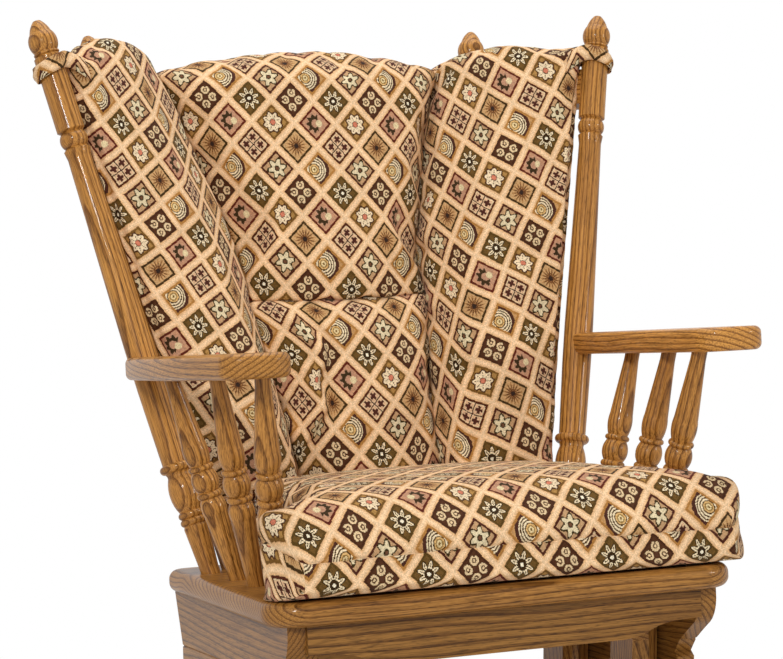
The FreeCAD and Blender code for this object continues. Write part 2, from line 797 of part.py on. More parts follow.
def build():
    nodes = {}

    def both(name, right):
        nodes["right_" + name] = right
        nodes["left_" + name] = mirrored(right)

    def group(name, solids):
        nodes[name] = Part.makeCompound(solids)

    # base
    both("runner", runner())
    both("top_rail", top_rail())
    for name in ("front", "rear"):
        both(name + "_upright", upright(name))
        nodes[name + "_stretcher"] = stretcher(name)
    nodes["top_cross_board"] = top_cross_board()
    group("floor_glides", floor_glides())
    bolts = [upper_bolt(n) for n in ("front", "rear")]
    nuts = [pivot_nut(pivots()[n][0], link_inner + bearing_length + end_gap) for n in ("front", "rear")]
    group("upper_pivot_bolts", bolts + [mirrored(s) for s in bolts])
    group("upper_pivot_nuts", nuts + [mirrored(s) for s in nuts])

    # swing links
    for name in ("front", "rear"):
        both(name + "_link", link(name))
        sleeves = link_bearings(name)
        group("right_" + name + "_bearings", sleeves)
        group("left_" + name + "_bearings", [mirrored(s) for s in sleeves])

    # seat box
    both("upper_skirt", skirt("upper"))
    both("lower_skirt", skirt("lower"))
    nodes["front_apron"] = front_apron()
    nodes["rear_apron"] = rear_apron()
    bolts = [lower_bolt(n) for n in ("front", "rear")]
    nuts = [pivot_nut(pivots()[n][1], link_inner + end_gap) for n in ("front", "rear")]
    group("lower_pivot_bolts", bolts + [mirrored(s) for s in bolts])
    group("lower_pivot_nuts", nuts + [mirrored(s) for s in nuts])

    # back frame
    crest_cut = crest_board(glue_gap)
    wing_cut = wing_board(glue_gap)
    both("outer_post", back_post(outer_post).cut(wing_cut).cut(arm_screw(glue_gap)))
    both("inner_post", back_post(inner_post).cut(wing_cut).cut(crest_cut))
    crest = crest_board()
    for k, axis in enumerate(back_spindle_axes()):
        crest = crest.cut(spindle_socket(axis))
        nodes["back_spindle_%d" % (k + 1)] = plain_spindle(axis)
    nodes["crest_rail"] = crest
    wing_rail = wing_board()
    for axis in wing_spindle_axes():
        wing_rail = wing_rail.cut(spindle_socket(axis))
    both("wing_rail", wing_rail)
    spindles = [plain_spindle(axis) for axis in wing_spindle_axes()]
    group("right_wing_spindles", spindles)
    group("left_wing_spindles", [mirrored(s) for s in spindles])

    # arms
    both("arm", arm())
    for k, axis in enumerate(spindle_axes):
        both("arm_spindle_%d" % (k + 1), arm_spindle(axis))
    group("arm_screws", [arm_screw(), mirrored(arm_screw())])

    # seat board with a socket for every foot
    one_side = [(outer_post, post_foot_radius), (inner_post, post_foot_radius)]
    one_side += [(axis, spindle_foot_radius) for axis in spindle_axes]
    one_side += [(axis, back_spindle_radius) for axis in wing_spindle_axes()]
    other = [((V(-a[0].x, a[0].y, a[0].z), V(-a[1].x, a[1].y, a[1].z)), r) for a, r in one_side]
    middle = [(axis, back_spindle_radius) for axis in back_spindle_axes()]
    nodes["seat_board"] = seat_board(one_side + other + middle)

    # cushions
    nodes["seat_cushion"] = seat_cushion()
    nodes["back_pillow"] = back_pillow()
    nodes["lumbar_pillow"] = lumbar_pillow()
    both("wing_pad", wing_pad())
    group("post_straps", [post_strap(), mirrored(post_strap())])
    return nodes


os.makedirs("parts", exist_ok=True)
whole = build()
for node, shape in whole.items():
    shape.exportStep("parts/%s.step" % node)
extent = Part.makeCompound(list(whole.values())).BoundBox
print("nodes", len(whole))
print("X %.2f %.2f  Y %.2f %.2f  Z %.2f %.2f" % (
    extent.XMin, extent.XMax, extent.YMin, extent.YMax, extent.ZMin, extent.ZMax))
for name, (upper, lower) in pivots().items():
    print(name, "upper pivot", tuple(round(c, 3) for c in upper), "lower", tuple(round(c, 3) for c in lower))
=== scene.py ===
import bpy
import json
import math
import numpy as np
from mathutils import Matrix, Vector


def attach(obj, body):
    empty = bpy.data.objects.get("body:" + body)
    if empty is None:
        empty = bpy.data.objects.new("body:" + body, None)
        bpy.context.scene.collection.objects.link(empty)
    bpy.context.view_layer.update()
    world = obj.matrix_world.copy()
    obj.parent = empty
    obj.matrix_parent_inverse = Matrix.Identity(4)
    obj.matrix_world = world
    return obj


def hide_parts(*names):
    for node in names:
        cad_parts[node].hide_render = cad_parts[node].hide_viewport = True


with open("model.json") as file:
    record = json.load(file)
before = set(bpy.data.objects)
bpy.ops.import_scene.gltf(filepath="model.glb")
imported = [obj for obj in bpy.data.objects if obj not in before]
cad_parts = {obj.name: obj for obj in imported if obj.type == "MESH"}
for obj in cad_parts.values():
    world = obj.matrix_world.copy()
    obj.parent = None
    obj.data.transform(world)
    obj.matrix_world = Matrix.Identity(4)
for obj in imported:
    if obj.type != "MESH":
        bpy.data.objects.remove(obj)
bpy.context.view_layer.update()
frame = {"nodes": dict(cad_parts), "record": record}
nodes = frame["nodes"]
print("frame:", len(nodes), "nodes")


def linear(hexColour):
    # sRGB hex to the linear colour that shader sockets take
    channels = [int(hexColour[k:k + 2], 16) / 255 for k in (1, 3, 5)]
    return tuple(c / 12.92 if c <= 0.04045 else ((c + 0.055) / 1.055) ** 2.4 for c in channels) + (1.0,)


def addNode(tree, kind, *inputs, **settings):
    # inputs fill the sockets in order, None leaves one alone, and a node stands for its first output
    made = tree.nodes.new(kind if "Node" in kind else "ShaderNode" + kind)
    for name, value in settings.items():
        setattr(made, name, value)
    for socket, value in zip(made.inputs, inputs):
        if isinstance(value, bpy.types.Node):
            tree.links.new(value.outputs[0], socket)
        elif isinstance(value, bpy.types.NodeSocket):
            tree.links.new(value, socket)
        elif value is not None:
            socket.default_value = value
    return made


def calc(tree, operation, *inputs):
    return addNode(tree, "Math", *inputs, operation=operation)


def vectorCalc(tree, operation, *inputs):
    return addNode(tree, "VectorMath", *inputs, operation=operation)


def lengthOf(tree, vector):
    return vectorCalc(tree, "LENGTH", vector).outputs["Value"]


def setSockets(node, values):
    for name, value in values.items():
        node.inputs[name].default_value = value


def addNoise(tree, place, **sockets):
    made = addNode(tree, "TexNoise", place)
    setSockets(made, sockets)
    return made


def addRamp(tree, share, stops, interpolation="LINEAR"):
    # colours by share; stops are (position, colour)
    made = addNode(tree, "ValToRGB", share)
    made.color_ramp.interpolation = interpolation
    elements = made.color_ramp.elements
    for k, (position, colour) in enumerate(stops):
        stop = elements[k] if k < 2 else elements.new(position)  # a new ramp has two stops
        stop.position, stop.color = position, colour
    return made


def mixTones(tree, share, under, over):
    otherSockets = (None,) * 5  # the node's float and vector sockets come before its colours
    return addNode(tree, "Mix", share, *otherSockets, under, over, data_type="RGBA").outputs[2]


def addBump(tree, height, strength, distance, invert=False):
    made = addNode(tree, "Bump", None, None, None, height, invert=invert)
    setSockets(made, {"Strength": strength, "Distance": distance})
    return made


def seenDirectly(tree):
    # 1 for the rays that show the background as it is, 0 for those that light the chair
    path = addNode(tree, "LightPath")
    seen = calc(tree, "MAXIMUM", path.outputs["Is Camera Ray"], path.outputs["Is Glossy Ray"])
    return calc(tree, "MAXIMUM", seen, path.outputs["Is Transmission Ray"])


def newMaterial(name):
    material = bpy.data.materials.new(name)
    material.use_nodes = True
    tree = material.node_tree
    return material, tree, tree.nodes["Principled BSDF"]


def addObject(name, data):
    made = bpy.data.objects.new(name, data)
    bpy.context.scene.collection.objects.link(made)
    return made


# Camera: the photograph's view, found from mirrored posts and spindles
photoView = {
    "azimuth": -20.80, "elevation": 8.11,  # degrees round the chair and above the horizon
    "target": (0.0, -0.01497, 0.64623), "distance": 3.2,
    "focalPixels": 2555.24, "imageWidth": 783, "sensor": 36.0,
}
azimuth, elevation = math.radians(photoView["azimuth"]), math.radians(photoView["elevation"])
level = math.cos(elevation)
backward = Vector((math.sin(azimuth) * level, -math.cos(azimuth) * level, math.sin(elevation)))
cameraData = bpy.data.cameras.new("photoCamera")
cameraData.sensor_width = photoView["sensor"]
cameraData.lens = photoView["focalPixels"] * photoView["sensor"] / photoView["imageWidth"]
camera = addObject("photoCamera", cameraData)
camera.location = Vector(photoView["target"]) + backward * photoView["distance"]
camera.rotation_mode = "QUATERNION"
camera.rotation_quaternion = (-backward).to_track_quat("-Z", "Y")
bpy.context.scene.camera = camera
bpy.context.scene.view_settings.view_transform = "Standard"
print("camera: lens", round(cameraData.lens, 2), "mm")


# Red oak, stained honey brown and lacquered: dark open pores run along the grain under a glossy film
oakLook = {
    "late": "#D2954A", "early": "#82511F", "pore": "#321907", "shade": "#905A22", "streak": "#6A4016",
    "ringWidth": 0.0056,  # a growth ring, about 3 mm in the tree, drawn wider to show
    "lateFrom": 0.42, "lateTo": 0.93,  # share of a ring that is late wood
    "wobbleScale": (7.0, 7.0, 1.6), "wobble": 0.04, "ringTaper": 0.012,
    "poreWidth": 0.0008, "poreLength": 0.013,  # real pores are 0.3 mm, drawn wider to show
    "crowdTo": 0.4, "crowded": 0.10, "sparse": -0.05,  # pores crowd in the early wood of each ring
    "streakWidth": 0.0011, "streakLength": 0.07,  # lines of darker and lighter wood along the grain
    "patchSize": 0.07, "patchStretch": (1.0, 1.0, 0.25),
    # noise from which each layer starts, noise at which it is full, and how strong it gets
    "poreMask": (0.52, 0.68, 0.62), "streakMask": (0.42, 0.68, 0.66), "patchMask": (0.35, 0.7, 0.45),
    "bump": 0.12, "bumpDepth": 0.0006,
    "lacquer": {"Roughness": 0.42, "Specular IOR Level": 0.10, "Coat Weight": 0.22, "Coat Roughness": 0.05,
                "IOR": 1.5},
    # heart line beside a piece: its first place, its step to the next piece, and the number of places
    "heartX": (0.05, 0.013, 5), "heartY": (-0.06, 0.017, 7),
}


def oakAlong(name, direction, heart, tone):
    # grain runs along direction, and rings lie round a heart line beside the piece
    look = oakLook
    material, tree, shader = newMaterial(name)
    place = addNode(tree, "TexCoord")
    turn = Vector((0, 0, 1)).rotation_difference(Vector(direction)).inverted().to_euler()
    grain = addNode(tree, "Mapping", place.outputs["Object"], None, tuple(turn))

    wobble = addNoise(tree, vectorCalc(tree, "MULTIPLY", grain, look["wobbleScale"]), Scale=1.0)
    drift = vectorCalc(tree, "SUBTRACT", wobble.outputs["Color"], (0.5, 0.5, 0.5))
    drift = vectorCalc(tree, "SCALE", drift)
    setSockets(drift, {"Scale": look["wobble"]})
    shifted = vectorCalc(tree, "ADD", grain, drift)
    across = vectorCalc(tree, "MULTIPLY", shifted, (1.0, 1.0, look["ringTaper"]))
    radius = lengthOf(tree, vectorCalc(tree, "SUBTRACT", across, heart))
    ring = calc(tree, "FRACT", calc(tree, "DIVIDE", radius, look["ringWidth"]))
    early, late = linear(look["early"]), linear(look["late"])
    ringStops = ((0.0, early), (look["lateFrom"], late), (look["lateTo"], late), (1.0, early))
    colour = addRamp(tree, ring, ringStops)

    poreScale = (1 / look["poreWidth"], 1 / look["poreWidth"], 1 / look["poreLength"])
    pores = addNoise(tree, vectorCalc(tree, "MULTIPLY", grain, poreScale), Scale=1.0, Detail=1.0)
    crowd = addNode(tree, "MapRange", ring, 0.0, look["crowdTo"], look["crowded"], look["sparse"])
    poreHit = calc(tree, "ADD", pores.outputs["Fac"], crowd)
    streakScale = (1 / look["streakWidth"], 1 / look["streakWidth"], 1 / look["streakLength"])
    streaks = addNoise(tree, vectorCalc(tree, "MULTIPLY", shifted, streakScale), Scale=1.0)
    stretched = vectorCalc(tree, "MULTIPLY", grain, look["patchStretch"])
    patches = addNoise(tree, stretched, Scale=1 / look["patchSize"])
    for amount, mask, tint in ((patches.outputs["Fac"], "patchMask", "shade"),
                               (streaks.outputs["Fac"], "streakMask", "streak"),
                               (poreHit, "poreMask", "pore")):
        start, full, strength = look[mask]
        layer = addNode(tree, "MapRange", amount, start, full, 0.0, strength)
        colour = mixTones(tree, layer, colour, linear(look[tint]))
    # tone scales the whole piece's brightness: painted shade or painted light for this piece
    toned = addNode(tree, "HueSaturation", None, None, tone, None, colour)
    tree.links.new(toned.outputs[0], shader.inputs["Base Color"])
    bump = addBump(tree, poreHit, look["bump"], look["bumpDepth"], invert=True)
    tree.links.new(bump.outputs[0], shader.inputs["Normal"])
    setSockets(shader, look["lacquer"])
    return material


def longAxis(node):
    # the long direction of a node's mesh, from every seventh of its points
    points = np.array([v.co for v in nodes[node].data.vertices])
    spread = np.linalg.svd(points[::7] - points.mean(0), full_matrices=False)[2][0]
    return tuple(np.round(spread * (1 if spread[np.argmax(abs(spread))] > 0 else -1), 2))


def dress(node, material):
    slots = nodes[node].data.materials
    if slots:
        slots[0] = material
    else:
        slots.append(material)


slotOf = {part["node"]: part["material_slot"] for part in frame["record"]["subparts"]}
# painted light and shade by a word in the name: each oak piece's brightness is scaled, darker for the apron,
# skirts, board, lower pieces, spindles and left arm, which stand in shade, and lighter for the right arm on
# the lit side; the first that fits counts, so arm spindles are not toned as arms
paintedShadeAndLightOf = {"skirt": 0.64, "apron": 0.50, "board": 0.75, "runner": 0.88, "upright": 0.86, "stretcher": 0.86,
          "spindle": 0.93, "left_arm": 0.90, "right_arm": 1.14}
oakNodes = [node for node, slot in slotOf.items() if slot == "oak"]
for count, node in enumerate(oakNodes, 1):
    axis = longAxis(node)
    if node.endswith("wing_spindles"):
        axis = longAxis(node.replace("wing_spindles", "outer_post"))
    heart = tuple(start + step * (count % turns)
                  for start, step, turns in (oakLook["heartX"], oakLook["heartY"]))
    # the piece's painted shade or painted light, 1.0 where none is painted
    tone = next((t for word, t in paintedShadeAndLightOf.items() if word in node), 1.0)
    dress(node, oakAlong("lacqueredOak_" + node, axis, heart + (0.0,), tone))
print("oak:", len(oakNodes), "pieces")


# Zinc-plated steel of the pivot bolts, nuts and screws: dull bright metal with a faint mottle
# Sintered bronze of the sleeve bearings: brownish, finely porous metal
# Moulded nylon of the floor glides: dark, slightly rough
hardware = {
    "steel": {"name": "zincSteel", "light": "#B9BBC0", "dark": "#8E9196",
              "metallic": 1.0, "roughness": 0.34, "grit": 0.004},
    "bronze": {"name": "sinteredBronze", "light": "#A9814E", "dark": "#7D5B31",
               "metallic": 1.0, "roughness": 0.42, "grit": 0.002},
    "nylon": {"name": "mouldedNylon", "light": "#2B2926", "dark": "#201E1C",
              "metallic": 0.0, "roughness": 0.55, "grit": 0.003},
}
mottleLook = {"darkBelow": 0.3, "lightAbove": 0.7, "low": 0.2, "high": 0.8, "smoother": 0.06, "rougher": 0.08}
for slot, look in hardware.items():
    material, tree, shader = newMaterial(look["name"])
    place = addNode(tree, "TexCoord")
    mottle = addNoise(tree, place.outputs["Object"], Scale=1 / look["grit"]).outputs["Fac"]
    tint = addRamp(tree, mottle, ((mottleLook["darkBelow"], linear(look["dark"])),
                                  (mottleLook["lightAbove"], linear(look["light"]))))
    tree.links.new(tint.outputs[0], shader.inputs["Base Color"])
    rough = addNode(tree, "MapRange", mottle, mottleLook["low"], mottleLook["high"],
                    look["roughness"] - mottleLook["smoother"], look["roughness"] + mottleLook["rougher"])
    tree.links.new(rough.outputs[0], shader.inputs["Roughness"])
    setSockets(shader, {"Metallic": look["metallic"]})
    for node in [n for n, s in slotOf.items() if s == slot]:
        dress(node, material)
print("hardware:", ", ".join(hardware))


# Tapestry upholstery: a woven diamond lattice with a small motif in each cell, slightly hairy and matt
# Lengths within a cell are shares of its side, and the ring, square and fan motifs have no petals
noPetals = {"petals": 0, "reach": 0.0, "dip": 0.0, "hollow": 0.0, "heartSize": 0.0, "rib": 2.0}
tapestryLook = {
    "cellWide": 0.0565, "cellTall": 0.065,  # diagonals of one diamond
    "thread": 0.0011,  # weft step, coarser than the real 0.6 mm so that it shows
    "bandFlat": 0.02, "band": 0.110, "outline": 0.178,  # lattice band from its middle out, then the dark line
    "bandMiddle": "#F0CBA0", "bandEdge": "#DAA974",
    # the first four motifs follow each other along one diagonal, the last four along the next
    "motifs": {
        "sixPetals": {"ground": "#BE966C", "line": "#4A2114", "petal": "#DDCBA4", "petalLine": "#3B2B10",
                      "heart": "#6A4630", "petals": 6, "reach": 0.295, "dip": 0.07, "hollow": 0.085,
                      "heartSize": 0.05, "rib": 2.0},
        "rings": {"ground": "#4E2D18", "line": "#432311", "petal": "#DCC094", "petalLine": "#523220",
                  "heart": "#563726", **noPetals},
        "wreath": {"ground": "#C28F6C", "line": "#5A2013", "petal": "#3B2A14", "petalLine": "#B98A6C",
                   "heart": "#DCC79A", "petals": 9, "reach": 0.30, "dip": 0.045, "hollow": 0.125,
                   "heartSize": 0.105, "rib": 2.0},
        "squares": {"ground": "#E0C398", "line": "#4F2412", "petal": "#D8AF88", "petalLine": "#E6CBA4",
                    "heart": "#4A241A", **noPetals},
        "fan": {"ground": "#C4924F", "line": "#AC783C", "petal": "#E4CCA2", "petalLine": "#B47B3A",
                "heart": "#B98B4A", **noPetals},
        "daisy": {"ground": "#694C22", "line": "#563E16", "petal": "#E8D3AC", "petalLine": "#35220A",
                  "heart": "#EFE3C6", "petals": 8, "reach": 0.335, "dip": 0.095, "hollow": 0.14,
                  "heartSize": 0.05, "rib": 0.92},
        "pinkFlower": {"ground": "#A97F45", "line": "#735022", "petal": "#EAD2AC", "petalLine": "#4E2E18",
                       "heart": "#CB785C", "petals": 8, "reach": 0.31, "dip": 0.04, "hollow": 0.10,
                       "heartSize": 0.08, "rib": 0.95},
        "starburst": {"ground": "#C59B69", "line": "#3F2B10", "petal": "#6A4123", "petalLine": "#A97A48",
                      "heart": "#33231A", "petals": 16, "reach": 0.28, "dip": 0.10, "hollow": 0.06,
                      "heartSize": 0.07, "rib": 2.0},
    },
    "petalEdge": 0.062,  # dark edge round a petal
    "ribEnd": 0.82,  # a dark rib runs down the middle of a petal, up to this share of its length
    "heartAside": 0.095, "wreathOpen": 0.13,  # the wreath is open on the right, where its flower sits
    "ringPlace": 0.158, "ringSize": 0.100, "ringLine": 0.031, "ringOpen": 0.205, "ringDot": 0.036,
    "squarePlace": 0.162, "squareHalf": 0.130, "crossHalf": 0.116, "crossLine": 0.042, "squareGap": 0.018,
    "fanAside": 0.13,
    # bands of the fan, from its flower outward
    "fan": ((0.0, "#7A5A2C"), (0.035, "#E3CB98"), (0.080, "#93703A"), (0.115, "#D8AE70"),
            (0.160, "#4B2F13"), (0.190, "#EAD6B0"), (0.235, "#4B2F13"), (0.270, "#EAD6B0"),
            (0.315, "#4B2F13"), (0.350, "#E6D0A8"), (0.385, "#4A281C"), (0.500, "#C0905A")),
    "pickTones": (0.74, 1.16), "fadeSize": 0.05, "fadeNoise": (0.3, 0.7), "fadeTones": (0.93, 1.06),
    "bump": 0.35, "bumpDepth": 0.0006,
    "finish": {"Roughness": 0.88, "Specular IOR Level": 0.12, "Sheen Weight": 0.04},
}


def motifValues(tree, motif, motifs):
    # each colour and measure of the motifs, picked by the motif's number
    largest = 32.0  # measures pass through the ramps as shares of this
    pick = calc(tree, "DIVIDE", calc(tree, "ADD", motif, 0.5), float(len(motifs)))
    chosen = {}
    for key in motifs["sixPetals"]:
        values = [entry[key] for entry in motifs.values()]
        colours = isinstance(values[0], str)
        tones = [linear(v) if colours else (v / largest,) * 3 + (1.0,) for v in values]
        stops = [(k / len(tones), tone) for k, tone in enumerate(tones)]
        chosen[key] = addRamp(tree, pick, stops, "CONSTANT")
        if not colours:
            chosen[key] = calc(tree, "MULTIPLY", chosen[key], largest)
    return chosen


def tapestry():
    look = tapestryLook
    material, tree, shader = newMaterial("tapestryWeave")
    place = addNode(tree, "TexCoord")
    weft = vectorCalc(tree, "SNAP", place.outputs["UV"], (look["thread"],) * 3)
    cells = vectorCalc(tree, "MULTIPLY", weft, (1 / look["cellWide"], 1 / look["cellTall"], 1.0))
    flat = addNode(tree, "SeparateXYZ", cells)
    up = calc(tree, "ADD", flat.outputs["X"], flat.outputs["Y"])
    down = calc(tree, "SUBTRACT", flat.outputs["X"], flat.outputs["Y"])
    upCell = calc(tree, "FLOOR", up)
    downCell = calc(tree, "FLOOR", down)
    # place in the cell from its middle: a runs to the upper right, b to the lower right
    a = calc(tree, "SUBTRACT", calc(tree, "FRACT", up), 0.5)
    b = calc(tree, "SUBTRACT", calc(tree, "FRACT", down), 0.5)
    sizeA = calc(tree, "ABSOLUTE", a)
    sizeB = calc(tree, "ABSOLUTE", b)
    nearer = calc(tree, "MINIMUM", sizeA, sizeB)
    rim = calc(tree, "SUBTRACT", 0.5, calc(tree, "MAXIMUM", sizeA, sizeB))

    # rows repeat every four, and neighbouring diagonals take the other set of motifs
    row = calc(tree, "FLOORED_MODULO", calc(tree, "SUBTRACT", downCell, upCell), 4.0)
    other = calc(tree, "FLOORED_MODULO", upCell, 2.0)
    motif = calc(tree, "MULTIPLY_ADD", other, 4.0, row)
    chosen = motifValues(tree, motif, look["motifs"])
    order = list(look["motifs"])
    isRings, isWreath, isSquares, isFan = [calc(tree, "COMPARE", motif, float(order.index(name)), 0.1)
                                           for name in ("rings", "wreath", "squares", "fan")]

    # petals: a ring whose edge waves with the angle
    out = lengthOf(tree, addNode(tree, "CombineXYZ", a, b))
    angle = calc(tree, "ARCTAN2", b, a)
    wave = calc(tree, "COSINE", calc(tree, "MULTIPLY", angle, chosen["petals"]))
    dips = calc(tree, "MULTIPLY", calc(tree, "ADD", wave, 1.0), chosen["dip"])
    limit = calc(tree, "SUBTRACT", chosen["reach"], dips)
    inPetal = calc(tree, "LESS_THAN", out, limit)
    pastHollow = calc(tree, "GREATER_THAN", out, chosen["hollow"])
    offRib = calc(tree, "LESS_THAN", calc(tree, "MULTIPLY", wave, -1.0), chosen["rib"])
    nearTip = calc(tree, "GREATER_THAN", out, calc(tree, "MULTIPLY", limit, look["ribEnd"]))
    right = calc(tree, "GREATER_THAN", calc(tree, "ADD", a, b), look["wreathOpen"])
    shut = calc(tree, "SUBTRACT", 1.0, calc(tree, "MULTIPLY", right, isWreath))
    petalMask = calc(tree, "MULTIPLY", inPetal, pastHollow)
    petalMask = calc(tree, "MULTIPLY", petalMask, calc(tree, "MAXIMUM", offRib, nearTip))
    petalMask = calc(tree, "MULTIPLY", petalMask, shut)
    lineMask = calc(tree, "LESS_THAN", out, calc(tree, "ADD", limit, look["petalEdge"]))
    aside = calc(tree, "MULTIPLY", isWreath, look["heartAside"])
    heartFrom = addNode(tree, "CombineXYZ", calc(tree, "SUBTRACT", a, aside),
                        calc(tree, "SUBTRACT", b, aside))
    heartMask = calc(tree, "LESS_THAN", lengthOf(tree, heartFrom), chosen["heartSize"])

    # four rings with a dot, each open towards its corner of the cell
    ringFrom = addNode(tree, "CombineXYZ", calc(tree, "SUBTRACT", sizeA, look["ringPlace"]),
                       calc(tree, "SUBTRACT", sizeB, look["ringPlace"]))
    ringOut = lengthOf(tree, ringFrom)
    onRing = calc(tree, "COMPARE", ringOut, look["ringSize"], look["ringLine"])
    onRing = calc(tree, "MULTIPLY", onRing, calc(tree, "LESS_THAN", nearer, look["ringOpen"]))
    onRing = calc(tree, "MAXIMUM", onRing, calc(tree, "LESS_THAN", ringOut, look["ringDot"]))
    onRing = calc(tree, "MULTIPLY", onRing, isRings)

    # four squares, each with a dark cross, and dark lines between them
    inA = calc(tree, "ABSOLUTE", calc(tree, "SUBTRACT", sizeA, look["squarePlace"]))
    inB = calc(tree, "ABSOLUTE", calc(tree, "SUBTRACT", sizeB, look["squarePlace"]))
    farther = calc(tree, "MAXIMUM", inA, inB)
    square = calc(tree, "LESS_THAN", farther, look["squareHalf"])
    square = calc(tree, "MULTIPLY", square, isSquares)
    onArm = calc(tree, "LESS_THAN", calc(tree, "MINIMUM", inA, inB), look["crossLine"])
    cross = calc(tree, "MULTIPLY", calc(tree, "LESS_THAN", farther, look["crossHalf"]), onArm)
    cross = calc(tree, "MAXIMUM", cross, calc(tree, "LESS_THAN", nearer, look["squareGap"]))
    cross = calc(tree, "MULTIPLY", cross, isSquares)

    # fan of arcs round a small flower on the left
    fanFrom = addNode(tree, "CombineXYZ", calc(tree, "ADD", a, look["fanAside"]),
                      calc(tree, "ADD", b, look["fanAside"]))
    fanStops = [(position, linear(tone)) for position, tone in look["fan"]]
    fanTone = addRamp(tree, lengthOf(tree, fanFrom), fanStops, "CONSTANT")

    bandTone = addRamp(tree, rim, ((look["bandFlat"], linear(look["bandMiddle"])),
                                   (look["band"], linear(look["bandEdge"]))))
    inLine = calc(tree, "LESS_THAN", rim, look["outline"])
    inBand = calc(tree, "LESS_THAN", rim, look["band"])
    layers = [(lineMask, chosen["petalLine"]), (petalMask, chosen["petal"]), (heartMask, chosen["heart"]),
              (onRing, chosen["petal"]), (square, chosen["petal"]), (cross, chosen["heart"]),
              (isFan, fanTone), (inLine, chosen["line"]), (inBand, bandTone)]
    colour = chosen["ground"]
    for mask, tone in layers:
        colour = mixTones(tree, mask, colour, tone)

    # single picks differ a little in tone, and the cloth fades in soft patches
    pickNoise = addNode(tree, "TexWhiteNoise", weft, noise_dimensions="2D").outputs["Value"]
    fadeNoise = addNoise(tree, place.outputs["UV"], Scale=1 / look["fadeSize"]).outputs["Fac"]
    bright = addNode(tree, "MapRange", pickNoise, 0.0, 1.0, *look["pickTones"])
    fade = addNode(tree, "MapRange", fadeNoise, *look["fadeNoise"], *look["fadeTones"])
    value = calc(tree, "MULTIPLY", bright, fade)
    toned = addNode(tree, "HueSaturation", None, None, value, None, colour)
    tree.links.new(toned.outputs[0], shader.inputs["Base Color"])
    bump = addBump(tree, pickNoise, look["bump"], look["bumpDepth"])
    tree.links.new(bump.outputs[0], shader.inputs["Normal"])
    setSockets(shader, look["finish"])
    return material


weave = tapestry()
print("tapestry: lattice with", len(tapestryLook["motifs"]), "motifs")

# Seat line of the frame: heights and depths below are measured from it
seatLine = {"y": -0.01497, "z": 0.355, "tilt": math.radians(8.0)}


def runLength(points, axis):
    # distance along a grid of points, from its first line
    steps = np.linalg.norm(np.diff(points, axis=axis), axis=2)
    zero = np.zeros_like(np.take(steps, [0], axis=axis))
    return np.concatenate([zero, np.cumsum(steps, axis=axis)], axis=axis)


def flatten(points, middle, byHeight):
    # lays a gently curved panel flat: rows measured from one column, with their mean slant to it kept
    along = runLength(points, 1)
    along = along - along[:, [middle]]
    rise = runLength(points, 0)[:, middle]
    rowWay = points[:, middle + 1] - points[:, middle - 1]
    columnWay = np.gradient(points[:, middle], axis=0)
    slants = (rowWay * columnWay).sum(1) / np.linalg.norm(rowWay, axis=1) / np.linalg.norm(columnWay, axis=1)
    slant = slants.mean()
    risen = np.repeat(rise[:, None], points.shape[1], 1)
    if byHeight:  # an arched edge cuts across the pattern and doesn't bend it
        risen = np.interp(points[..., 2], points[:, middle, 2], rise)
    return np.stack([along * math.sqrt(1 - slant ** 2), risen + along * slant], axis=2)


def gridCells(grid):
    # the four corners of each cell of a grid, row by row
    for r in range(grid.shape[0] - 1):
        for c in range(grid.shape[1] - 1):
            yield (r, c), (r, c + 1), (r + 1, c + 1), (r + 1, c)


def sewBox(name, counts, place):
    # a closed cover of six panels; place maps shares across, through and up to points of the chair
    nx, ny, nz = counts
    spots = {}
    for i in range(nx + 1):
        for j in range(ny + 1):
            for k in range(nz + 1):
                if i in (0, nx) or j in (0, ny) or k in (0, nz):
                    spots[i, j, k] = len(spots)
    shares = np.array(list(spots), float) / np.array(counts)
    points = place(shares[:, 0], shares[:, 1], shares[:, 2])
    grids = {
        "face": [[spots[i, 0, k] for i in range(nx + 1)] for k in range(nz + 1)],
        "back": [[spots[i, ny, k] for i in range(nx, -1, -1)] for k in range(nz + 1)],
        "left": [[spots[0, j, k] for j in range(ny, -1, -1)] for k in range(nz + 1)],
        "right": [[spots[nx, j, k] for j in range(ny + 1)] for k in range(nz + 1)],
        "top": [[spots[i, j, nz] for i in range(nx + 1)] for j in range(ny + 1)],
        "bottom": [[spots[i, j, 0] for i in range(nx + 1)] for j in range(ny, -1, -1)],
    }
    grids = {side: np.array(grid) for side, grid in grids.items()}
    quads = [[int(grid[q]) for q in cell] for grid in grids.values() for cell in gridCells(grid)]
    mesh = bpy.data.meshes.new(name)
    mesh.from_pydata([tuple(p) for p in points], [], quads)
    mesh.uv_layers.new(name="cloth")
    mesh.materials.append(weave)
    mesh.polygons.foreach_set("use_smooth", [True] * len(quads))
    piece = addObject(name, mesh)
    held = piece.vertex_groups.new(name="held")
    held.add([int(n) for n in np.unique(grids["back"])], 1.0, "REPLACE")
    return piece, grids


def meshPoints(mesh):
    points = np.zeros(len(mesh.vertices) * 3)
    mesh.vertices.foreach_get("co", points)
    return points.reshape(-1, 3)


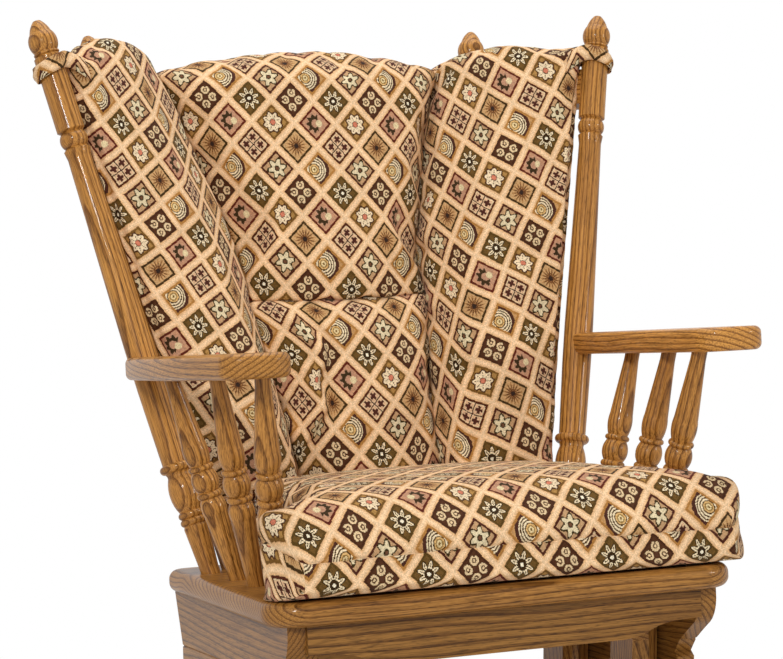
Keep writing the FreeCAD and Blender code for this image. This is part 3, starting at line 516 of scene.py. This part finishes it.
def layCloth(mesh, grids, look, seamRow=None):
    # the cloth's own flat measures: it runs on over the face's edges, and below a seam it is another piece
    points = meshPoints(mesh)
    ny = grids["top"].shape[0] - 1
    nx, nz = grids["face"].shape[1] - 1, grids["face"].shape[0] - 1
    laid = {side: points[grid] for side, grid in grids.items()}
    flats = {"face": flatten(laid["face"], nx // 2, seamRow is None)}
    face = flats["face"]
    reach = runLength(laid["right"], 1)
    flats["right"] = np.stack([face[:, [-1], 0] + reach, np.repeat(face[:, [-1], 1], ny + 1, 1)], 2)
    reach = runLength(laid["left"][:, ::-1], 1)[:, ::-1]
    flats["left"] = np.stack([face[:, [0], 0] - reach, np.repeat(face[:, [0], 1], ny + 1, 1)], 2)
    reach = runLength(laid["top"], 0)
    flats["top"] = np.stack([np.repeat(face[[-1], :, 0], ny + 1, 0), face[[-1], :, 1] + reach], 2)
    reach = runLength(laid["bottom"][::-1], 0)[::-1]
    flats["bottom"] = np.stack([np.repeat(face[[0], :, 0], ny + 1, 0), face[[0], :, 1] - reach], 2)
    under = runLength(laid["back"], 0)
    hem = flats["bottom"][0][::-1]
    flats["back"] = np.stack([np.repeat(hem[None, :, 0], nz + 1, 0), hem[None, :, 1] - under], 2)

    turn = math.radians(look["turn"])
    corners = []
    for side, grid in grids.items():
        u, v = flats[side][..., 0], flats[side][..., 1]
        cloth = np.stack([u * math.cos(turn) - v * math.sin(turn) + look["shift"][0],
                          u * math.sin(turn) + v * math.cos(turn) + look["shift"][1]], 2)
        for cell in gridCells(grid):
            r, c = cell[0]
            deep = {"face": 0, "back": ny, "top": r, "bottom": ny - r - 1,
                    "left": ny - c - 1, "right": c}[side]
            if seamRow is not None and deep >= seamRow:  # the band below the seam is laid unturned
                corners += [flats[side][q] + np.array(look["bandShift"]) for q in cell]
            else:
                corners += [cloth[q] for q in cell]
    mesh.uv_layers["cloth"].data.foreach_set("uv", np.array(corners).ravel())


def soften(mesh, rounds, keep):
    # evens out the box edges; keep lists points that stay where they are
    points = meshPoints(mesh)
    edges = np.array([e.vertices[:] for e in mesh.edges])
    count = np.bincount(edges.ravel(), minlength=len(points))[:, None]
    fixed = points[keep].copy()
    for step in range(rounds):
        total = np.zeros_like(points)
        np.add.at(total, edges[:, 0], points[edges[:, 1]])
        np.add.at(total, edges[:, 1], points[edges[:, 0]])
        points = 0.5 * points + 0.5 * total / count
        points[keep] = fixed
    mesh.vertices.foreach_set("co", points.ravel())
    mesh.update()


# Filling: pressure in a light cloth that gives a little and is held at its back
filling = {
    "quality": 5, "mass": 0.3, "tension_stiffness": 20.0, "compression_stiffness": 20.0,
    "shear_stiffness": 8.0, "bending_stiffness": 0.6, "shrink_min": -0.03,
    "use_pressure": True, "uniform_pressure_force": 4.0, "vertex_group_mass": "held",
}
fillingFrames = 20


def plump(piece, look):
    # blows the cover up as the filling does; no point moves farther than the cap
    before = meshPoints(piece.data)
    cloth = piece.modifiers.new("filling", "CLOTH")
    for name, value in filling.items():
        setattr(cloth.settings, name, value)
    cloth.settings.effector_weights.gravity = 0.0
    cloth.point_cache.frame_start, cloth.point_cache.frame_end = 1, fillingFrames
    scene = bpy.context.scene
    for number in range(1, fillingFrames + 1):
        scene.frame_set(number)
    blown = piece.evaluated_get(bpy.context.evaluated_depsgraph_get())
    after = meshPoints(blown.data)
    piece.modifiers.remove(cloth)
    scene.frame_set(1)
    move = after - before
    far = np.linalg.norm(move, axis=1, keepdims=True)
    move *= np.minimum(1.0, look["cap"] / np.maximum(far, 1e-9))
    piece.data.vertices.foreach_set("co", (before + move).ravel())
    piece.data.update()
    farthest = float(np.minimum(far, look["cap"]).max())
    print(piece.name, "filled: largest move", round(farthest * 1000, 1), "mm")


def finishCushion(piece, node):
    smooth = piece.modifiers.new("smooth", "SUBSURF")
    smooth.levels = smooth.render_levels = 1
    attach(piece, "seat")
    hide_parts(node)


def tighten(mesh, lines, depth):
    # draws sewn lines in along the surface's normals
    mesh.update()
    normals = np.zeros(len(mesh.vertices) * 3)
    mesh.vertex_normals.foreach_get("vector", normals)
    normals = normals.reshape(-1, 3)
    points = meshPoints(mesh)
    points[lines] -= normals[lines] * depth
    mesh.vertices.foreach_set("co", points.ravel())
    mesh.update()


# Wing pads: (x, y) lines of the right one, at the heights given, all from the seat line
wingPad = {
    "counts": (34, 8, 84), "rounds": 8, "low": 0.088, "high": 0.648,
    "heights": (0.100, 0.208, 0.376, 0.608, 0.660),
    "crease": ((0.097, 0.084), (0.113, 0.145), (0.133, 0.236), (0.200, 0.349), (0.216, 0.374)),
    # the left pad sits flatter than the right one
    "ridge": {"right": ((0.106, 0.014), (0.132, 0.065), (0.177, 0.148), (0.264, 0.252), (0.285, 0.274)),
              "left": ((0.118, 0.014), (0.145, 0.066), (0.189, 0.148), (0.269, 0.252), (0.289, 0.274))},
    "outer": ((0.231, 0.014), (0.256, 0.053), (0.296, 0.116), (0.351, 0.200), (0.363, 0.219)),
    "backInner": ((0.099, 0.116), (0.115, 0.173), (0.134, 0.262), (0.200, 0.385), (0.216, 0.412)),
    "backOuter": ((0.239, 0.037), (0.263, 0.077), (0.303, 0.138), (0.360, 0.222), (0.372, 0.242)),
    # how far the top edge drops, by share from the crease to the post
    "topDrop": {
        "right": ((0.0, 0.052), (0.12, 0.038), (0.30, 0.026), (0.55, 0.018), (0.80, 0.019), (1.0, 0.016)),
        "left": ((0.0, 0.046), (0.12, 0.026), (0.30, 0.010), (0.55, 0.0), (0.80, 0.010), (1.0, 0.024))},
    # how the cloth is laid: its turn in degrees and its shift
    "turn": {"right": -22.4, "left": 21.1},
    "shift": {"right": (-0.1357, -0.4444), "left": (0.2475, -0.3516)},
    "cap": 0.008, "fill": 0.75,
}


def wingPlace(mirror):
    look = wingPad

    def place(across, through, upward):
        # across runs from the crease to the post on the right pad, and the other way on the left one
        side = 1 - across if mirror else across
        height = look["low"] + (look["high"] - look["low"]) * upward
        hand = "left" if mirror else "right"
        drop = np.array(look["topDrop"][hand])
        height = height - np.interp(side, drop[:, 0], drop[:, 1]) * upward ** 3

        def line(key):
            stations = np.array(look[key][hand] if key == "ridge" else look[key])
            return np.stack([np.interp(height, look["heights"], stations[:, c]) for c in (0, 1)], 1)
        crease, ridge, outer = line("crease"), line("ridge"), line("outer")
        first = np.linalg.norm(ridge - crease, axis=1)
        bend = first / (first + np.linalg.norm(outer - ridge, axis=1))
        inner = np.minimum(side / bend, 1.0)[:, None]  # along the inner face, then along the front strip
        strip = np.maximum((side - bend) / (1 - bend), 0.0)[:, None]
        front = crease + (ridge - crease) * inner + (outer - ridge) * strip
        rear = line("backInner") + (line("backOuter") - line("backInner")) * side[:, None]
        flat = front + (rear - front) * through[:, None]
        x = -flat[:, 0] if mirror else flat[:, 0]
        return np.stack([x, seatLine["y"] + flat[:, 1], seatLine["z"] + height], 1)
    return place


for side in ("right", "left"):
    look = dict(wingPad, turn=wingPad["turn"][side], shift=wingPad["shift"][side])
    pad, grids = sewBox(side + "WingPad", look["counts"], wingPlace(side == "left"))
    soften(pad.data, look["rounds"], np.unique(grids["back"]))
    layCloth(pad.data, grids, look)
    plump(pad, look)
    finishCushion(pad, side + "_wing_pad")
print("wing pads sewn")

# Back pillow and lumbar pillow between the creases
backPillow = {
    "counts": (56, 7, 46), "rounds": 8, "low": 0.306, "high": 0.598, "arch": 0.024, "crown": 0.036,
    "folds": 0.0015, "tuck": 0.004, "turn": 3.2, "shift": (0.2213, -0.1761), "cap": 0.014, "fill": 0.7,
}
lumbarPillow = {
    "counts": (48, 7, 36), "rounds": 8, "low": 0.088, "high": 0.307, "arch": 0.0, "crown": 0.048,
    # a slack fold down the left half: (share up, place across from the middle)
    "fold": ((0.0, -0.86), (0.19, -0.76), (0.42, -0.40), (0.56, -0.45),
             (0.67, -0.31), (0.76, -0.31), (0.89, -0.49), (1.0, -0.62)),
    "foldDepth": 0.013, "foldWidth": 0.055,
    "foldRoll": 0.011, "rollWider": 1.6, "rollAside": 1.5,  # the roll beside the fold
    "folds": 0.004, "tuck": 0.005, "turn": 1.1, "shift": (-0.0031, -0.0720), "cap": 0.016, "fill": 0.7,
}
# Puckers of slack cloth beside the creases: how soon they fade, their waves across, and how these sway upward
puckers = {"fade": 0.22, "waves": 34, "sway": 4, "swayRise": 2.2, "swayStart": 0.6}


def pillowPlace(look):
    def place(across, through, upward):
        middle = 2 * across - 1
        height = look["low"] + (look["high"] - look["low"] + look["arch"] * (1 - middle ** 2)) * upward
        edge = np.array(wingPad["crease"])
        rest = np.array(wingPad["backInner"])
        half = np.interp(height, wingPad["heights"], edge[:, 0]) + look["tuck"]
        front = np.interp(height, wingPad["heights"], edge[:, 1]) - look["crown"] * (1 - middle ** 2)
        sway = puckers["sway"] * np.sin(puckers["swayRise"] * upward + puckers["swayStart"])
        pucker = np.exp(-(1 - abs(middle)) / puckers["fade"]) * np.cos(puckers["waves"] * middle + sway)
        front = front - look["folds"] * pucker * np.sin(math.pi * upward)
        rear = np.interp(height, wingPad["heights"], rest[:, 1])
        depth = front + (rear - front) * through
        return np.stack([half * middle, seatLine["y"] + depth, seatLine["z"] + height], 1)
    return place


def pressFold(mesh, face, look):
    # presses the fold into the filled face, with a roll on its outer side; the cloth runs in and out of it
    upward = np.linspace(0, 1, face.shape[0])[:, None]
    middle = np.linspace(-1, 1, face.shape[1])[None, :]
    path = np.array(look["fold"])
    away = (middle - np.interp(upward, path[:, 0], path[:, 1])) / look["foldWidth"]
    points = meshPoints(mesh)
    before = runLength(points[face], 1)
    roll = np.exp(-(away / look["rollWider"] + look["rollAside"]) ** 2)
    push = look["foldDepth"] * np.exp(-away ** 2) - look["foldRoll"] * roll
    points[face, 1] += push * np.sqrt(np.sin(math.pi * upward))
    more = runLength(points[face], 1) - before
    more -= more[:, [face.shape[1] // 2]]
    mesh.vertices.foreach_set("co", points.ravel())
    mesh.update()
    layer = mesh.uv_layers["cloth"].data
    for k, cell in enumerate(gridCells(face)):  # the face's quads come first in the mesh
        for corner, q in enumerate(cell):
            layer[4 * k + corner].uv[0] += more[q]


for name, node, look in (("backPillow", "back_pillow", backPillow),
                         ("lumbarPillow", "lumbar_pillow", lumbarPillow)):
    pillow, grids = sewBox(name, look["counts"], pillowPlace(look))
    soften(pillow.data, look["rounds"], np.unique(grids["back"]))
    layCloth(pillow.data, grids, look)
    plump(pillow, look)
    if "fold" in look:
        pressFold(pillow.data, grids["face"], look)
    finishCushion(pillow, node)
print("back cushions sewn")

# Seat cushion: T-shaped, its top rolling over the front to a seam
seatCushion = {
    "counts": (84, 12, 66), "rounds": 5, "thick": 0.106, "crown": 0.006, "aside": 0.012,
    # from front to back: distance along the seat, half width, lift of the underside, drop of the top
    "cuts": ((-0.405, 0.264, 0.012, 0.050), (-0.393, 0.277, 0.004, 0.032), (-0.371, 0.290, 0.001, 0.016),
             (-0.342, 0.297, 0.001, 0.007), (-0.312, 0.232, 0.001, 0.002), (-0.262, 0.215, 0.001, 0.0),
             (-0.149, 0.208, 0.001, 0.0), (-0.012, 0.196, 0.001, 0.004), (0.036, 0.158, 0.001, 0.008),
             (0.056, 0.126, 0.012, 0.020)),
    "seamRow": 4, "seamDepth": 0.0055, "cornerDepth": 0.003, "gather": 0.35,
    "turn": 176.9, "shift": (0.0880, 0.1272), "bandShift": (0.0062, 0.1394), "cap": 0.007, "fill": 0.8,
}


def seatPlace(across, through, upward):
    look = seatCushion
    cuts = np.array(look["cuts"])
    spread = np.concatenate([[0], np.cumsum(np.hypot(np.diff(cuts[:, 0]), np.diff(cuts[:, 3])))])
    run = spread / spread[-1]
    v, half, lift, drop = [np.interp(upward, run, cuts[:, c]) for c in range(4)]
    middle = 2 * across - 1
    high = look["thick"] - drop + look["crown"] * (1 - middle ** 2)
    w = high + (lift - high) * through
    c, s = math.cos(seatLine["tilt"]), math.sin(seatLine["tilt"])
    return np.stack([look["aside"] + half * middle, seatLine["y"] + v * c + w * s,
                     seatLine["z"] - v * s + w * c], 1)


look = seatCushion
cushion, grids = sewBox("seatCushion", look["counts"], seatPlace)
soften(cushion.data, look["rounds"], np.unique(grids["back"]))
layCloth(cushion.data, grids, look, look["seamRow"])
plump(cushion, look)
seamAt = look["counts"][1] - look["seamRow"]
front = grids["bottom"]
# lines of points from the underside up: the front from end to end, then both sides
lines = np.concatenate([front, grids["left"].T[:, 1:], grids["right"].T[::-1, 1:]], axis=1)
points = meshPoints(cushion.data)
for beside in (seamAt - 1, seamAt + 1):
    points[lines[beside]] += (points[lines[seamAt]] - points[lines[beside]]) * look["gather"]
cushion.data.vertices.foreach_set("co", points.ravel())
tighten(cushion.data, lines[seamAt], look["seamDepth"])
tighten(cushion.data, front[seamAt + 1:, [0, -1]].ravel(), look["cornerDepth"])
finishCushion(cushion, "seat_cushion")
print("seat cushion sewn")

# Post straps: bands of the pads' cloth, looped round the outer posts under the finials and sewn to the pads
postStrap = {
    # a point of the right post's middle line, and its lean
    "post": (0.3471, 0.1495, 0.8336), "lean": (0.2226, 0.3537, 1.0),
    "height": 0.970, "radius": 0.0200, "loose": 0.0022, "sag": 0.0055,
    "width": 0.019, "flare": 0.011, "tailFrom": 0.5,  # the band flares over the outer part of each half
    "belly": 0.0022, "ripple": 0.0007, "waves": 90.0, "skew": 5.0, "cloth": 0.0018,
    "from": -128.0, "to": 152.0, "steps": 48,  # degrees round the post, from the front to the back
    "tails": ((0.332, 0.190, 0.966), (0.336, 0.216, 0.966)),  # ends inside the pad
    "tailSteps": 12, "run": 0.014, "along": 72, "across": 7,
    "shift": (0.012, 0.020),
}


def strapLine(look):
    # points along the band: out of the pad, round the post and back into the pad
    lean = np.array(look["lean"]) / np.linalg.norm(look["lean"])
    middle = np.array(look["post"]) + np.array(look["lean"]) * (look["height"] - look["post"][2])
    sideways = np.array((1.0, 0.0, 0.0)) - lean * lean[0]
    sideways /= np.linalg.norm(sideways)
    backways = np.cross(lean, sideways)
    angle = np.radians(np.linspace(look["from"], look["to"], look["steps"]))
    facing = np.cos(angle)[:, None] * sideways + np.sin(angle)[:, None] * backways
    reach = look["radius"] + look["loose"] * (1 + np.cos(angle)) / 2
    loop = middle + facing * reach[:, None] - lean * (look["sag"] * np.cos(angle))[:, None]
    share = np.linspace(1, 0, look["tailSteps"], endpoint=False)[:, None]
    tails = []
    for end, at, ahead in ((look["tails"][0], 0, 1), (look["tails"][1], -1, -2)):
        way = loop[at] - loop[ahead]
        # leaves the post straight on, then turns in
        bend = loop[at] + way * look["run"] / np.linalg.norm(way)
        inward = np.array(end) * share ** 2
        tails.append(loop[at] * (1 - share) ** 2 + bend * 2 * share * (1 - share) + inward)
    return lean, np.concatenate([tails[0], loop, tails[1][::-1]])


def bandTree(look):
    # a band of cloth along a path: a grid laid on the path, its width along lean
    tree = bpy.data.node_groups.new("clothBand", "GeometryNodeTree")
    keys = {}
    for name, kind in (("path", "Geometry"), ("lean", "Vector"), ("length", "Float"), ("width", "Float"),
                       ("flare", "Float"), ("belly", "Float"), ("ripple", "Float"), ("waves", "Float")):
        socket = tree.interface.new_socket(name, in_out="INPUT", socket_type="NodeSocket" + kind)
        keys[name] = socket.identifier
    tree.interface.new_socket("band", in_out="OUTPUT", socket_type="NodeSocketGeometry")
    given = addNode(tree, "NodeGroupInput").outputs
    grid = addNode(tree, "GeometryNodeMeshGrid", 1.0, 1.0, look["along"], look["across"])
    share = addNode(tree, "SeparateXYZ", grid.outputs["UV Map"])
    at = addNode(tree, "GeometryNodeSampleCurve", addNode(tree, "GeometryNodeMeshToCurve", given["path"]),
                 mode="FACTOR", use_all_curves=True)
    tree.links.new(share.outputs["X"], at.inputs["Factor"])
    over = calc(tree, "MULTIPLY_ADD", share.outputs["Y"], 2.0, -1.0)
    ends = calc(tree, "ABSOLUTE", calc(tree, "MULTIPLY_ADD", share.outputs["X"], 2.0, -1.0))
    tail = addNode(tree, "MapRange", ends, look["tailFrom"], 1.0, 0.0, 1.0)
    wide = calc(tree, "MULTIPLY_ADD", tail, given["flare"], given["width"])
    aside = calc(tree, "MULTIPLY", calc(tree, "MULTIPLY", over, wide), 0.5)
    along = calc(tree, "MULTIPLY", share.outputs["X"], given["length"])
    # the band bellies out between its edges and ripples a little along its run
    bulge = calc(tree, "MULTIPLY_ADD", calc(tree, "MULTIPLY", over, over), -1.0, 1.0)
    turn = calc(tree, "MULTIPLY_ADD", along, given["waves"], calc(tree, "MULTIPLY", over, look["skew"]))
    rippled = calc(tree, "MULTIPLY", calc(tree, "SINE", turn), given["ripple"])
    puff = calc(tree, "MULTIPLY_ADD", bulge, given["belly"], rippled)
    outward = vectorCalc(tree, "CROSS_PRODUCT", at.outputs["Tangent"], given["lean"])
    outward = vectorCalc(tree, "NORMALIZE", outward)
    spot = at.outputs["Position"]
    for way, far in ((given["lean"], aside), (outward, puff)):
        step = vectorCalc(tree, "SCALE", way)
        tree.links.new(far.outputs[0], step.inputs["Scale"])
        spot = vectorCalc(tree, "ADD", spot, step)
    laid = addNode(tree, "GeometryNodeSetPosition", grid.outputs["Mesh"], None, spot)
    cloth = addNode(tree, "CombineXYZ", calc(tree, "ADD", along, look["shift"][0]),
                    calc(tree, "ADD", aside, look["shift"][1]))
    measured = addNode(tree, "GeometryNodeStoreNamedAttribute", laid, None, "cloth",
                       data_type="FLOAT2", domain="CORNER")
    tree.links.new(cloth.outputs[0], measured.inputs["Value"])
    smooth = addNode(tree, "GeometryNodeSetShadeSmooth", measured)
    whole = addNode(tree, "GeometryNodeRealizeInstances", smooth)
    woven = addNode(tree, "GeometryNodeSetMaterial", whole, None, weave)
    addNode(tree, "NodeGroupOutput", woven)
    return tree, keys


look = postStrap
band, bandKeys = bandTree(look)
lean, line = strapLine(look)
length = float(np.linalg.norm(np.diff(line, axis=0), axis=1).sum())
for side, sign in (("right", 1.0), ("left", -1.0)):
    mirror = np.array((sign, 1.0, 1.0))
    path = bpy.data.meshes.new(side + "StrapPath")
    path.from_pydata([tuple(q) for q in line * mirror], [(k, k + 1) for k in range(len(line) - 1)], [])
    strap = addObject(side + "PostStrap", path)
    follow = strap.modifiers.new("band", "NODES")
    follow.node_group = band
    sizes = {"lean": tuple(lean * mirror), "length": length, "width": look["width"], "flare": look["flare"],
             "belly": look["belly"] * sign, "ripple": look["ripple"] * sign, "waves": look["waves"]}
    for name, value in sizes.items():
        follow[bandKeys[name]] = value
    made = bpy.data.meshes.new_from_object(strap.evaluated_get(bpy.context.evaluated_depsgraph_get()))
    strap.modifiers.remove(follow)
    strap.data = made
    made.uv_layers["cloth"].active = made.uv_layers["cloth"].active_render = True
    thick = strap.modifiers.new("cloth", "SOLIDIFY")
    thick.thickness, thick.offset = look["cloth"], 0.0
    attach(strap, "seat")
    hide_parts("post_straps")
print("post straps:", len(made.vertices), "points,", round(length * 1000), "mm of cloth each")

# Floor: pale card that keeps the shadow near the chair and turns plain white farther out
floorLook = {
    "radius": 1.9, "sides": 64, "fadeStart": 0.45, "fadeEnd": 0.80,
    "card": {"Base Color": linear("#ECEAE6"), "Roughness": 0.9, "Specular IOR Level": 0.1},
}
plainWhite = (1.0, 1.0, 1.0, 1.0)
floorMesh = bpy.data.meshes.new("floor")
sides = floorLook["sides"]
turns = [k * math.pi / (sides / 2) for k in range(sides)]
rimPoints = [(floorLook["radius"] * math.cos(t), floorLook["radius"] * math.sin(t), 0.0) for t in turns]
floorMesh.from_pydata(rimPoints, [], [list(range(sides))])
floor = addObject("floor", floorMesh)
material, tree, shader = newMaterial("paleCard")
setSockets(shader, floorLook["card"])
place = addNode(tree, "TexCoord")
reach = lengthOf(tree, place.outputs["Object"])
fade = addNode(tree, "MapRange", reach, floorLook["fadeStart"], floorLook["fadeEnd"], 0.0, 1.0)
share = calc(tree, "MULTIPLY", seenDirectly(tree), fade)
white = addNode(tree, "Emission", plainWhite, 1.0)
blend = addNode(tree, "MixShader", share, shader, white)
tree.links.new(blend.outputs[0], tree.nodes["Material Output"].inputs["Surface"])
floorMesh.materials.append(material)

# Light: a key from the left front and a fill from the right, both small for crisp highlights on the lacquer,
# a large soft box above, and an even surround
lamps = {
    "key": {"place": (-1.9, -2.6, 2.4), "size": 0.5, "power": 56.0},
    "fill": {"place": (2.4, -2.2, 1.7), "size": 0.6, "power": 22.0},
    "top": {"place": (0.1, 0.5, 3.0), "size": 2.2, "power": 38.0},
}
aim = Vector((0.0, 0.0, 0.6))
surroundStrength = 0.42
for name, lamp in lamps.items():
    data = bpy.data.lights.new(name + "Softbox", "AREA")
    data.size, data.energy = lamp["size"], lamp["power"]
    light = addObject(name + "Softbox", data)
    light.location = lamp["place"]
    light.rotation_mode = "QUATERNION"
    light.rotation_quaternion = (aim - light.location).to_track_quat("-Z", "Y")
world = bpy.data.worlds.new("studio")
world.use_nodes = True
bpy.context.scene.world = world
tree = world.node_tree
surround = tree.nodes["Background"]
setSockets(surround, {"Color": plainWhite, "Strength": surroundStrength})
plain = addNode(tree, "Background", plainWhite, 1.0)
blend = addNode(tree, "MixShader", seenDirectly(tree), surround, plain)
tree.links.new(blend.outputs[0], tree.nodes["World Output"].inputs["Surface"])
print("stage: floor, lamps, surround")
